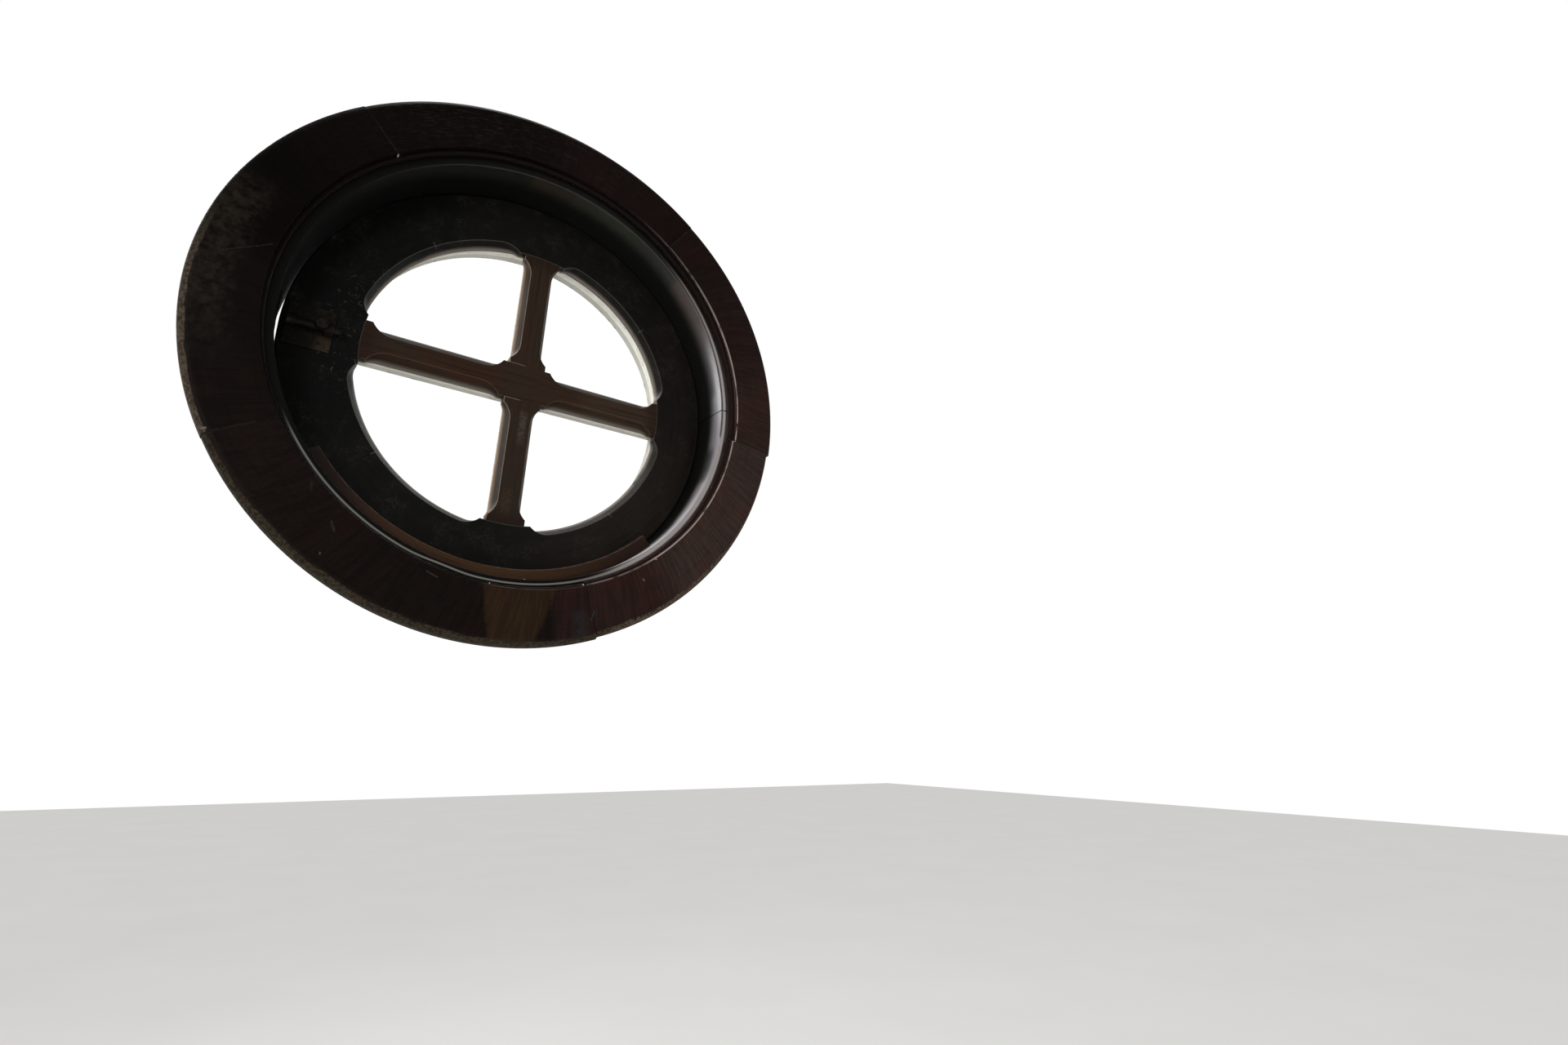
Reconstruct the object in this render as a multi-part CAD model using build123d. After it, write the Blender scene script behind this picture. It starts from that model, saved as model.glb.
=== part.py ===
# Round timber window with its casing, liner, stop, outward opening sash and bolt.
# Lengths are millimetres. X runs to the right seen from the room, Y out through
# the wall, Z up. The origin is on the window's axis, in the wall's room face.
# Angles start at the right and run anticlockwise as seen from the room.
from build123d import *
from math import acos, asin, cos, degrees, radians, sin, sqrt
import os

# Liner: one hoop with a closed kerf where its inner layer meets
LINER_R = 183.0
LINER_WALL = 16.0
LINER_SHORT = 0.4
KERF_ANGLE = 3.0
KERF_WIDTH = 0.6
KERF_DEPTH = 7.0
LINER_EASE = 0.6

# Casing: five bent boards, butted, with a rounded outer edge, an inner arris and a bead
CASING_MARGIN = 8.5
CASING_WIDTH = 43.5
CASING_THICK = 12.0
CASING_ROUND = 6.0
CASING_EASE = 0.4
BEAD_SIZE = 3.5
BEAD_OUT = 3.0
QUIRK_DEPTH = 1.6
QUIRK_WIDTH = 1.1
RELIEF_DEEP = 1.2
RELIEF_FROM = 3.0
RELIEF_EDGE = 9.0
JOINT_TOP_LEFT = 133.5
JOINT_TOP_RIGHT = 56.0
JOINT_RIGHT = -7.0
JOINT_BOTTOM_RIGHT = -72.0
JOINT_BOTTOM_LEFT = -149.5

# How far each board sits off the true circle
TOP_OFF = 0.2
UPPER_RIGHT_OFF = 2.4
LOWER_RIGHT_OFF = -0.6
BOTTOM_OFF = 0.9
LEFT_OFF = 0.7

# Nails through the casing into the liner's edge, and pins through the stop
NAIL_IN = 3.0
NAIL_HEAD_R = 1.7
NAIL_R = 0.9
NAIL_LENGTH = 28.0
NAIL_SUNK = 0.4
NAIL_FROM_JOINT = 9.0
NAIL_HEAD = 1.2
STOP_PIN_HEAD_R = 1.5
STOP_PIN_R = 0.8
STOP_PIN_LENGTH = 22.0
STOP_PIN_COUNT = 4
STOP_PIN_INSET = 8.0

# Stop strip in the lower part of the liner
STOP_WIDTH = 11.0
STOP_START = -143.5
STOP_END = -47.0
STOP_CLEAR = 0.3
STOP_EASE = 0.8
STOP_SET_BACK = 17.0

# Sash: four ring boards and two halved muntins; the panes sit a little to the right
SASH_SET_BACK = 43.0
SASH_THICK = 35.0
SASH_GAP = 1.8
RIM_X = 1.0
SASH_X = 4.4
SASH_EASE = 1.0
RING_WIDTH = 51.0
LIP = 9.0
REBATE = 8.0
MUNTIN_H = 33.4
MUNTIN_V = 31.7
TENON_LENGTH = 14.0
TENON_THICK = 10.0
TENON_WIDE = 14.0
TENON_ROOT = 6.0
SASH_JOINT = 41.0

# Stopped chamfers round the pane openings
CHAMFER_STOP = 5.0
CHAMFER_SWEEP = 20.0
LEVEL_FRONT = 9.7
LEVEL_BACK = 2.0
UPRIGHT_FRONT = 7.1
UPRIGHT_BACK = 2.5
RING_FRONT = 8.1
RING_BACK = 2.5
RING_BLANK = 20.0

# Panes and the putty behind them
GLASS = 3.0
GLASS_GAP = 0.5
PUTTY_DEEP = 15.0
PUTTY_WIDE = 5.0
PUTTY_THIN = 0.5

# Sliding bolt on the sash's room face, and its keeper on the liner
BOLT_Z = -3.0
BOLT_R = 3.2
BOLT_CLEAR = 0.05
BOLT_OFF_PLATE = 0.4
BOLT_LENGTH = 37.3
BOLT_EASE = 0.7
TIP_INSET = 3.9
KNOB_INSET = 26.7
PLATE_INSET = 4.2
PLATE_LENGTH = 31.5
PLATE_TALL = 35.0
PLATE_THICK = 1.5
GUIDE_LENGTH = 6.0
GUIDE_WALL = 1.8
SCREW_INSET = 5.5
KNOB_R = 4.8
KNOB_TALL = 5.3
KNOB_STAND = 16.0
KNOB_ROUND = 2.0
STEM_R = 1.8
KEEPER_THICK = 1.4
KEEPER_DEEP = 15.6
KEEPER_TALL = 29.4
KEEPER_CLEAR = 0.5
BOLT_HOLE_R = 3.7
BOLT_HOLE_DEEP = 12.0

# Hinges on the outside, at the right
PIN_OUT = 1.0
PIN_STAND = 3.0
PIN_R = 1.5
PIN_CLEAR = 0.05
PIN_HEAD = 1.2
BARREL_R = 2.75
LEAF_THICK = 1.5
LEAF_LENGTH = 40.0
HINGE_FROM = 8.0
SASH_LEAF = 22.0
FRAME_LEAF = 8.5
KNUCKLE = 13.0
KNUCKLE_GAP = 0.2
LEAF_CLEAR = 0.4

# Countersunk screws: head and shank radius, and length
PLATE_SCREW = (2.4, 1.2, 14.0)
HINGE_SCREW = (2.1, 1.0, 13.0)
KEEPER_SCREW = (2.0, 1.0, 11.0)
KEEPER_SCREW_PROUD = 0.05
SLOT_WIDE = 0.5
SLOT_DEEP = 0.45

LINER_OUT = LINER_R + LINER_WALL
ARRIS_R = LINER_R + CASING_MARGIN
CASING_R = ARRIS_R + CASING_WIDTH
BEAD_R = ARRIS_R - BEAD_OUT
STOP_R = LINER_R - STOP_WIDTH
SASH_R = LINER_R - SASH_GAP
SASH_LEFT = RIM_X - SASH_R
SASH_BACK = SASH_SET_BACK + SASH_THICK
LINER_DEPTH = SASH_BACK - LINER_SHORT
GLASS_FACE = SASH_SET_BACK + LIP
PANE_R = SASH_R - RING_WIDTH
PLATE_LEFT = SASH_LEFT + PLATE_INSET
PLATE_RIGHT = PLATE_LEFT + PLATE_LENGTH
PLATE_FACE = SASH_SET_BACK - PLATE_THICK
BOLT_TIP = SASH_LEFT + TIP_INSET
KNOB_X = SASH_LEFT + KNOB_INSET
ROD_Y = PLATE_FACE - BOLT_OFF_PLATE - BOLT_R
PIN_X = LINER_R + PIN_OUT
PIN_Y = SASH_BACK + PIN_STAND


def at_angle(radius, angle, depth=0.0):
    """Point at a radius and an angle round the window's axis."""
    return Vector(radius * cos(radians(angle)), depth, radius * sin(radians(angle)))


def hoop(profile, start, end):
    """Profile of radius and depth turned round the axis from start to end."""
    return Rot(0, -end, 0) * revolve(profile, Axis.Y, end - start)


def rectangle(r0, r1, y0, y1):
    """Flat profile between two radii and two depths."""
    return make_face(Polyline((r0, y0), (r1, y0), (r1, y1), (r0, y1), close=True))


def prism(outline, y0, y1):
    """Outline of (x, z) points carried from one depth to another."""
    wire = Polyline(*[(x, y0, z) for x, z in outline], close=True)
    return extrude(make_face(wire), amount=y1 - y0, dir=(0, 1, 0))


def wedge(start, end, reach, y0, y1):
    """Slice of the full circle between two angles."""
    middle = (start + end) / 2
    far = [at_angle(reach, a) for a in (start, middle, end)]
    return prism([(0, 0)] + [(p.X, p.Z) for p in far], y0, y1)


def block(x0, x1, y0, y1, z0, z1):
    """Square block between its limits."""
    centre = ((x0 + x1) / 2, (y0 + y1) / 2, (z0 + z1) / 2)
    return Pos(*centre) * Box(x1 - x0, y1 - y0, z1 - z0)


def rod(start, along, radius, length):
    """Round bar from a point in a direction."""
    return Plane(origin=start, z_dir=along) * Cylinder(
        radius, length, align=(Align.CENTER, Align.CENTER, Align.MIN))


def screw(head, along, size, slot_angle=None):
    """Countersunk screw with its head's face at a point, driven along a direction."""
    head_r, shank_r, length = size
    sink = head_r - shank_r
    outline = [(0, 0), (head_r, 0), (shank_r, sink), (shank_r, length - 2 * shank_r), (0, length)]
    half = make_face(Polyline(*[(r, 0, z) for r, z in outline], close=True))
    seam_turn = 45
    body = Rot(0, 0, seam_turn) * revolve(half, Axis.Z, 360)
    if slot_angle is not None:
        slot = Rot(0, 0, slot_angle) * Box(3 * head_r, SLOT_WIDE, 2 * SLOT_DEEP)
        body -= slot
    return Plane(origin=head, z_dir=along) * body


def nail(head, along, head_r, shank_r, length):
    """Round headed pin driven flush."""
    return rod(head, along, head_r, NAIL_HEAD) + rod(head, along, shank_r, length)


def casing_profile():
    """Section from the bead out to the rounded edge, its back relieved to lie flat."""
    corner = CASING_R - CASING_ROUND
    turn = CASING_ROUND * (1 - sqrt(0.5))
    bead_centre = BEAD_R + BEAD_SIZE
    face = -CASING_THICK
    bead_top = -2 * BEAD_SIZE
    quirk = (ARRIS_R + QUIRK_DEPTH, bead_top - QUIRK_WIDTH / 2)
    relief_in = LINER_OUT + RELIEF_FROM
    relief_out = CASING_R - RELIEF_EDGE
    return make_face([
        Line((bead_centre, 0), (relief_in, 0)),
        Line((relief_in, 0), (relief_in + RELIEF_DEEP, -RELIEF_DEEP)),
        Line((relief_in + RELIEF_DEEP, -RELIEF_DEEP), (relief_out - RELIEF_DEEP, -RELIEF_DEEP)),
        Line((relief_out - RELIEF_DEEP, -RELIEF_DEEP), (relief_out, 0)),
        Line((relief_out, 0), (CASING_R, 0)),
        Line((CASING_R, 0), (CASING_R, face + CASING_ROUND)),
        ThreePointArc((CASING_R, face + CASING_ROUND),
                      (CASING_R - turn, face + turn), (corner, face)),
        Line((corner, face), (ARRIS_R + CASING_EASE, face)),
        Line((ARRIS_R + CASING_EASE, face), (ARRIS_R, face + CASING_EASE)),
        Line((ARRIS_R, face + CASING_EASE), (ARRIS_R, bead_top - QUIRK_WIDTH)),
        Line((ARRIS_R, bead_top - QUIRK_WIDTH), quirk),
        Line(quirk, (bead_centre, bead_top)),
        ThreePointArc((bead_centre, bead_top), (BEAD_R, -BEAD_SIZE), (bead_centre, 0)),
    ])


def casing_board(start, end, offset, toward):
    """One bent board, set a little off the circle, cut at its two joints."""
    shift = at_angle(offset, toward)
    spare = 4
    ring = Pos(shift.X, 0, shift.Z) * hoop(casing_profile(), start - spare, end + spare)
    return ring & wedge(start, end, 2 * CASING_R, -CASING_THICK - 1, 1)


def casing_nails():
    """Two nails near the ends of each board, through it into the liner."""
    joints = (JOINT_TOP_LEFT - 360, JOINT_BOTTOM_LEFT, JOINT_BOTTOM_RIGHT,
              JOINT_RIGHT, JOINT_TOP_RIGHT, JOINT_TOP_LEFT)
    spots = []
    for start, end in zip(joints[:-1], joints[1:]):
        spots += [start + NAIL_FROM_JOINT, end - NAIL_FROM_JOINT]
    return [nail(at_angle(LINER_OUT - NAIL_IN, a, NAIL_SUNK - CASING_THICK), (0, 1, 0),
                 NAIL_HEAD_R, NAIL_R, NAIL_LENGTH) for a in spots]


def liner():
    """Hoop that lines the hole, with the kerf and the bolt's hole."""
    outline = Polyline((LINER_R + LINER_EASE, 0), (LINER_OUT, 0), (LINER_OUT, LINER_DEPTH),
                       (LINER_R, LINER_DEPTH), (LINER_R, LINER_EASE), close=True)
    ring = hoop(make_face(outline), 0, 360)
    kerf = Rot(0, -KERF_ANGLE, 0) * block(
        LINER_R - KERF_DEPTH, LINER_R + KERF_DEPTH, -LINER_DEPTH, 2 * LINER_DEPTH,
        -KERF_WIDTH / 2, KERF_WIDTH / 2)
    return ring - kerf - bolt_hole(BOLT_HOLE_DEEP)


def bolt_hole(deep):
    """Round hole for the bolt, from inside the liner into its wall."""
    return rod((BOLT_HOLE_R - LINER_R, ROD_Y, BOLT_Z), (-1, 0, 0), BOLT_HOLE_R,
               BOLT_HOLE_R + deep)


def stop_strip():
    """Bent strip that the sash shuts against, its front arris eased."""
    back = SASH_SET_BACK - STOP_CLEAR
    outline = Polyline((STOP_R + STOP_EASE, STOP_SET_BACK), (LINER_R, STOP_SET_BACK),
                       (LINER_R, back), (STOP_R, back),
                       (STOP_R, STOP_SET_BACK + STOP_EASE), close=True)
    return hoop(make_face(outline), STOP_START, STOP_END)


def stop_pins():
    """Pins through the strip into the liner."""
    depth = (STOP_SET_BACK + SASH_SET_BACK) / 2
    first = STOP_START + STOP_PIN_INSET
    step = (STOP_END - STOP_START - 2 * STOP_PIN_INSET) / (STOP_PIN_COUNT - 1)
    angles = [first + step * i for i in range(STOP_PIN_COUNT)]
    return [nail(at_angle(STOP_R, a, depth), at_angle(1, a), STOP_PIN_HEAD_R,
                 STOP_PIN_R, STOP_PIN_LENGTH) for a in angles]


def keeper():
    """Thin plate on the liner round the bolt's hole."""
    outer = SASH_SET_BACK - KEEPER_CLEAR
    profile = rectangle(LINER_R - KEEPER_THICK, LINER_R, outer - KEEPER_DEEP, outer)
    middle = 180 - degrees(BOLT_Z / LINER_R)
    half = degrees(KEEPER_TALL / 2 / LINER_R)
    return hoop(profile, middle - half, middle + half) - bolt_hole(BOLT_HOLE_DEEP)


def keeper_screws(slot):
    """Two screws through the keeper into the liner, above and below the hole."""
    spots = []
    reach = (KEEPER_TALL / 2 + BOLT_HOLE_R) / 2
    for side, turn in ((-1, 20), (1, 65)):
        z = BOLT_Z + side * reach
        x = KEEPER_SCREW_PROUD - sqrt((LINER_R - KEEPER_THICK) ** 2 - z ** 2)
        spots.append(screw((x, ROD_Y - BOLT_HOLE_R / 2, z), (-1, 0, 0), KEEPER_SCREW,
                           turn if slot else None))
    return spots


def chamfer_face(place, length, depth, y, curved):
    """Outline of a stopped chamfer at one depth, its run-outs arced."""
    run = sqrt(2 * CHAMFER_SWEEP * depth - depth ** 2)
    sag = depth - CHAMFER_SWEEP + sqrt(CHAMFER_SWEEP ** 2 - (run / 2) ** 2)
    start = [(CHAMFER_STOP, 0), (CHAMFER_STOP + run / 2, sag), (CHAMFER_STOP + run, depth)]
    points = start + [(length - s, d) for s, d in reversed(start)]
    points += [(length - CHAMFER_STOP, -3), (CHAMFER_STOP, -3)]
    points = [Vector(x, y, z) for x, z in (place(s, d) for s, d in points)]
    a, b, c, d, e, f, g, h = points
    if curved:
        x, z = place(length / 2, depth)
        deep = ThreePointArc(c, (x, y, z), d)
        x, z = place(length / 2, -3)
        shallow = ThreePointArc(g, (x, y, z), h)
    else:
        deep = Line(c, d)
        shallow = Line(g, h)
    return make_face([ThreePointArc(a, b, c), deep, ThreePointArc(d, e, f),
                      Line(f, g), shallow, Line(h, a)])


def chamfer(place, length, front, back, curved=False):
    """Cutter of one stopped chamfer from the sash's face to the glass."""
    slope = (front - back) / LIP
    faces = [chamfer_face(place, length, front - slope * t, SASH_SET_BACK + t, curved)
             for t in (-1.0, LIP + 0.5)]
    return loft(faces, ruled=True)


def quarters():
    """Signs of the four panes, with their names."""
    return {"upper_left": (-1, 1), "upper_right": (1, 1),
            "lower_left": (-1, -1), "lower_right": (1, -1)}


def level_chamfers():
    """Cutters along both edges of the level muntin."""
    half_v = MUNTIN_V / 2
    half_h = MUNTIN_H / 2
    length = sqrt(PANE_R ** 2 - half_h ** 2) - half_v
    return [chamfer(lambda s, d, sx=sx, sz=sz:
                    (SASH_X + sx * (half_v + s), sz * (half_h - d)),
                    length, LEVEL_FRONT, LEVEL_BACK)
            for sx, sz in quarters().values()]


def upright_chamfers():
    """Cutters along both edges of the upright muntin."""
    half_v = MUNTIN_V / 2
    half_h = MUNTIN_H / 2
    length = sqrt(PANE_R ** 2 - half_v ** 2) - half_h
    return [chamfer(lambda s, d, sx=sx, sz=sz:
                    (SASH_X + sx * (half_v - d), sz * (half_h + s)),
                    length, UPRIGHT_FRONT, UPRIGHT_BACK)
            for sx, sz in quarters().values()]


def ring_chamfers():
    """Cutters along the four arcs of the sash's ring."""
    first = asin(MUNTIN_H / 2 / PANE_R)
    last = acos(MUNTIN_V / 2 / PANE_R)

    def place(s, d, sx, sz):
        angle = first + s / PANE_R
        return (SASH_X + sx * (PANE_R + d) * cos(angle), sz * (PANE_R + d) * sin(angle))

    return [chamfer(lambda s, d, sx=sx, sz=sz: place(s, d, sx, sz),
                    (last - first) * PANE_R, RING_FRONT, RING_BACK, curved=True)
            for sx, sz in quarters().values()]


def disc(radius, y0, y1):
    """Solid disc about the sash's axis."""
    return rod((SASH_X, y0, 0), (0, 1, 0), radius, y1 - y0)


def tenons(level):
    """Both tenons of a muntin, into the ring."""
    reach = PANE_R + REBATE + TENON_LENGTH
    root = PANE_R - TENON_ROOT
    middle = (GLASS_FACE + SASH_BACK) / 2
    y0 = middle - TENON_THICK / 2
    y1 = middle + TENON_THICK / 2
    wide = TENON_WIDE / 2
    if level:
        return [block(SASH_X + a, SASH_X + b, y0, y1, -wide, wide)
                for a, b in ((-reach, -root), (root, reach))]
    return [block(SASH_X - wide, SASH_X + wide, y0, y1, a, b)
            for a, b in ((-reach, -root), (root, reach))]


def muntin_blank(level):
    """Muntin with its front lip, its rebated web and its tenons, before halving."""
    reach = PANE_R + 2 * REBATE
    half = (MUNTIN_H if level else MUNTIN_V) / 2
    web = half - REBATE
    sizes = ((half, SASH_SET_BACK, GLASS_FACE, PANE_R), (web, GLASS_FACE, SASH_BACK,
                                                     PANE_R + REBATE))
    parts = []
    for wide, y0, y1, radius in sizes:
        if level:
            bar = block(SASH_X - reach, SASH_X + reach, y0, y1, -wide, wide)
        else:
            bar = block(SASH_X - wide, SASH_X + wide, y0, y1, -reach, reach)
        parts.append(bar & disc(radius, y0, y1))
    body = parts[0] + parts[1]
    for tenon in tenons(level):
        body += tenon
    return body


def muntins():
    """Both muntins halved into each other, the level one whole at the front."""
    middle = (SASH_SET_BACK + SASH_BACK) / 2
    web = MUNTIN_V / 2 - REBATE
    level = muntin_blank(True)
    level -= block(SASH_X - web, SASH_X + web, middle, SASH_BACK + LIP, -MUNTIN_H, MUNTIN_H)
    upright = muntin_blank(False) - level
    for cutter in level_chamfers():
        level -= cutter
    for cutter in upright_chamfers():
        upright -= cutter
    return level, upright


def sash_ring():
    """Whole ring with its rebate, chamfers and mortises, before it is cut in four."""
    blank = PANE_R - RING_BLANK
    outline = Polyline((blank, SASH_SET_BACK), (SASH_R - SASH_EASE, SASH_SET_BACK),
                       (SASH_R, SASH_SET_BACK + SASH_EASE), (SASH_R, SASH_BACK),
                       (blank, SASH_BACK), close=True)
    ring = Pos(RIM_X, 0, 0) * hoop(make_face(outline), 0, 360)
    openings = [disc(PANE_R, SASH_SET_BACK - 1, SASH_BACK + 1),
                disc(PANE_R + REBATE, GLASS_FACE, SASH_BACK + 1)]
    for cutter in openings + ring_chamfers() + tenons(True) + tenons(False):
        ring -= cutter
    return ring


def quarter_face(inset, y, sx, sz):
    """Outline of a pane's rebate, drawn in by an inset."""
    x0 = MUNTIN_V / 2 - REBATE + inset
    z0 = MUNTIN_H / 2 - REBATE + inset
    radius = PANE_R + REBATE - inset
    low = (sqrt(radius ** 2 - z0 ** 2), z0)
    high = (x0, sqrt(radius ** 2 - x0 ** 2))
    middle = (radius * sqrt(0.5), radius * sqrt(0.5))
    corner, low, high, middle = [Vector(SASH_X + sx * x, y, sz * z)
                                 for x, z in ((x0, z0), low, high, middle)]
    return make_face([Line(corner, low), ThreePointArc(low, middle, high),
                      Line(high, corner)])


def pane(sx, sz):
    """Quarter pane of clear glass."""
    return extrude(quarter_face(GLASS_GAP, GLASS_FACE, sx, sz), amount=GLASS,
                   dir=(0, 1, 0))


def putty(sx, sz):
    """Sloped putty round a pane's outer side."""
    y0 = GLASS_FACE + GLASS
    bed = extrude(quarter_face(0, y0, sx, sz), amount=PUTTY_DEEP, dir=(0, 1, 0))
    slope = (PUTTY_WIDE - PUTTY_THIN) / PUTTY_DEEP
    faces = [quarter_face(PUTTY_WIDE - slope * t, y0 + t, sx, sz)
             for t in (-GLASS_GAP, PUTTY_DEEP + GLASS_GAP)]
    return bed - loft(faces, ruled=True)


def bolt_plate():
    """Plate of the bolt with the two guides the rod runs in."""
    body = block(PLATE_LEFT, PLATE_RIGHT, PLATE_FACE, SASH_SET_BACK,
                 BOLT_Z - PLATE_TALL / 2, BOLT_Z + PLATE_TALL / 2)
    wall = BOLT_R + BOLT_CLEAR + GUIDE_WALL
    for x in (PLATE_LEFT, PLATE_RIGHT - GUIDE_LENGTH):
        foot = block(x, x + GUIDE_LENGTH, ROD_Y, PLATE_FACE, BOLT_Z - wall, BOLT_Z + wall)
        round_top = rod((x, ROD_Y, BOLT_Z), (1, 0, 0), wall, GUIDE_LENGTH)
        front = block(x, x + GUIDE_LENGTH, ROD_Y - wall, ROD_Y, BOLT_Z - wall, BOLT_Z + wall)
        body = body + foot + (round_top & front)
    bore = rod((PLATE_LEFT - GUIDE_LENGTH, ROD_Y, BOLT_Z), (1, 0, 0), BOLT_R + BOLT_CLEAR,
               PLATE_LENGTH + 2 * GUIDE_LENGTH)
    return body - bore


def bolt_plate_screws(slot):
    """Four screws through the bolt's plate into the sash."""
    spots = []
    rise = PLATE_TALL / 2 - SCREW_INSET + PLATE_THICK / 2
    for x, turn in ((PLATE_LEFT + SCREW_INSET, 25), (PLATE_RIGHT - SCREW_INSET, 70)):
        for side in (-1, 1):
            spots.append(screw((x, PLATE_FACE, BOLT_Z + side * rise), (0, 1, 0),
                               PLATE_SCREW, turn * side if slot else None))
    return spots


def bolt_rod():
    """Round sliding rod, its ends eased."""
    middle = BOLT_R - BOLT_EASE
    outline = Polyline((0, 0), (middle, 0), (BOLT_R, BOLT_EASE),
                       (BOLT_R, BOLT_LENGTH - BOLT_EASE), (middle, BOLT_LENGTH),
                       (0, BOLT_LENGTH), close=True)
    shaft = revolve(make_face(outline), Axis.Y, 360)
    return Pos(BOLT_TIP, ROD_Y, BOLT_Z) * Rot(0, 0, -90) * shaft


def bolt_knob():
    """Rounded knob on the stem that is fixed in the rod."""
    top = SASH_SET_BACK - KNOB_STAND
    stem = rod((KNOB_X, top, BOLT_Z), (0, 1, 0), STEM_R, ROD_Y - top + BOLT_R / 2)
    head = rod((KNOB_X, top, BOLT_Z), (0, 1, 0), KNOB_R, KNOB_TALL)
    rim = head.edges().filter_by(GeomType.CIRCLE).sort_by(Axis.Y)[0]
    return fillet(rim, KNOB_ROUND) + stem


def knuckle_spans(z0):
    """Limits along the pin of the frame's two knuckles and the sash's one."""
    z1 = z0 + LEAF_LENGTH
    inner = (z0 + KNUCKLE + KNUCKLE_GAP, z1 - KNUCKLE - KNUCKLE_GAP)
    return [(z0, z0 + KNUCKLE), (z1 - KNUCKLE, z1)], [inner]


def hinge_leaf(z0, spans, far, base, bore):
    """Leaf of a hinge: plate to one side of the pin, with its knuckles."""
    side = 1 if far > 0 else -1
    near = PIN_X + side * (BARREL_R + LEAF_CLEAR)
    low, high = sorted((near, PIN_X + far))
    body = block(low, high, base, base + LEAF_THICK, z0, z0 + LEAF_LENGTH)
    for a, b in spans:
        low, high = sorted((PIN_X, near))
        body += block(low, high, base, base + LEAF_THICK, a, b)
        body += rod((PIN_X, PIN_Y, a), (0, 0, 1), BARREL_R, b - a)
    return body - rod((PIN_X, PIN_Y, z0 - PIN_HEAD), (0, 0, 1), bore,
                      LEAF_LENGTH + 2 * PIN_HEAD)


def hinge_pin(z0):
    """Pin of a hinge with a head at each end."""
    body = rod((PIN_X, PIN_Y, z0), (0, 0, 1), PIN_R, LEAF_LENGTH)
    for z, way in ((z0, -1), (z0 + LEAF_LENGTH, 1)):
        body += rod((PIN_X, PIN_Y, z), (0, 0, way), (PIN_R + BARREL_R) / 2, PIN_HEAD)
    return body


def hinge_screws(x, base, slot):
    """Two screws in each leaf at one distance across, for both hinges."""
    spots = []
    for z0 in (HINGE_FROM, -HINGE_FROM - LEAF_LENGTH):
        for turn, z in ((30, z0 + LEAF_LENGTH / 5), (80, z0 + LEAF_LENGTH * 4 / 5)):
            spots.append(screw((x, base + LEAF_THICK, z), (0, -1, 0), HINGE_SCREW,
                               turn if slot else None))
    return spots


def without(body, cutters):
    """Body with its fasteners' holes."""
    for cutter in cutters:
        body -= cutter
    return body


def build():
    """Every piece by name."""
    pieces = {}
    nails = casing_nails()
    boards = {
        "casing_top": (JOINT_TOP_RIGHT, JOINT_TOP_LEFT, TOP_OFF, 95),
        "casing_upper_right": (JOINT_RIGHT, JOINT_TOP_RIGHT, UPPER_RIGHT_OFF, -45),
        "casing_lower_right": (JOINT_BOTTOM_RIGHT, JOINT_RIGHT, LOWER_RIGHT_OFF, -40),
        "casing_bottom": (JOINT_BOTTOM_LEFT, JOINT_BOTTOM_RIGHT, BOTTOM_OFF, -60),
        "casing_left": (JOINT_TOP_LEFT, JOINT_BOTTOM_LEFT + 360, LEFT_OFF, 150),
    }
    for name, board in boards.items():
        pieces[name] = without(casing_board(*board), nails)
    pieces["casing_nails"] = nails

    frame_x = PIN_X + (BARREL_R + LEAF_CLEAR + FRAME_LEAF) / 2
    sash_x = PIN_X - SASH_LEAF * 3 / 4
    pins = stop_pins()
    pieces["liner"] = without(
        liner(), nails + pins + keeper_screws(False)
        + hinge_screws(frame_x, LINER_DEPTH, False))
    pieces["stop_strip"] = without(stop_strip(), pins)
    pieces["stop_pins"] = pins
    pieces["keeper_plate"] = without(keeper(), keeper_screws(False))
    pieces["keeper_screws"] = keeper_screws(True)

    ring = without(sash_ring(), bolt_plate_screws(False)
                   + hinge_screws(sash_x, SASH_BACK, False))
    quarter = 90
    for i, name in enumerate(("top", "left", "bottom", "right")):
        start = SASH_JOINT + quarter * i
        cut = Pos(SASH_X, 0, 0) * wedge(start, start + quarter, 2 * SASH_R, 0, 2 * SASH_BACK)
        pieces["sash_" + name] = ring & cut
    pieces["muntin_level"], pieces["muntin_upright"] = muntins()
    for name, (sx, sz) in quarters().items():
        pieces["pane_" + name] = pane(sx, sz)
        pieces["putty_" + name] = putty(sx, sz)

    pieces["bolt_plate"] = without(bolt_plate(), bolt_plate_screws(False))
    pieces["bolt_plate_screws"] = bolt_plate_screws(True)
    pieces["bolt_knob"] = bolt_knob()
    pieces["bolt_rod"] = bolt_rod() - pieces["bolt_knob"]

    for name, z0 in (("upper", HINGE_FROM), ("lower", -HINGE_FROM - LEAF_LENGTH)):
        frame_spans, sash_spans = knuckle_spans(z0)
        pieces["hinge_frame_leaf_" + name] = without(
            hinge_leaf(z0, frame_spans, FRAME_LEAF, LINER_DEPTH, PIN_R),
            hinge_screws(frame_x, LINER_DEPTH, False))
        pieces["hinge_sash_leaf_" + name] = without(
            hinge_leaf(z0, sash_spans, -SASH_LEAF, SASH_BACK, PIN_R + PIN_CLEAR),
            hinge_screws(sash_x, SASH_BACK, False))
        pieces["hinge_pin_" + name] = hinge_pin(z0)
    pieces["hinge_frame_screws"] = hinge_screws(frame_x, LINER_DEPTH, True)
    pieces["hinge_sash_screws"] = hinge_screws(sash_x, SASH_BACK, True)
    return pieces


os.makedirs("parts", exist_ok=True)
for name, piece in build().items():
    if isinstance(piece, list):
        piece = Compound(children=piece)
    export_step(piece, f"parts/{name}.step")
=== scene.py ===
import math

import bpy
from mathutils import Euler, Matrix, Vector


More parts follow.
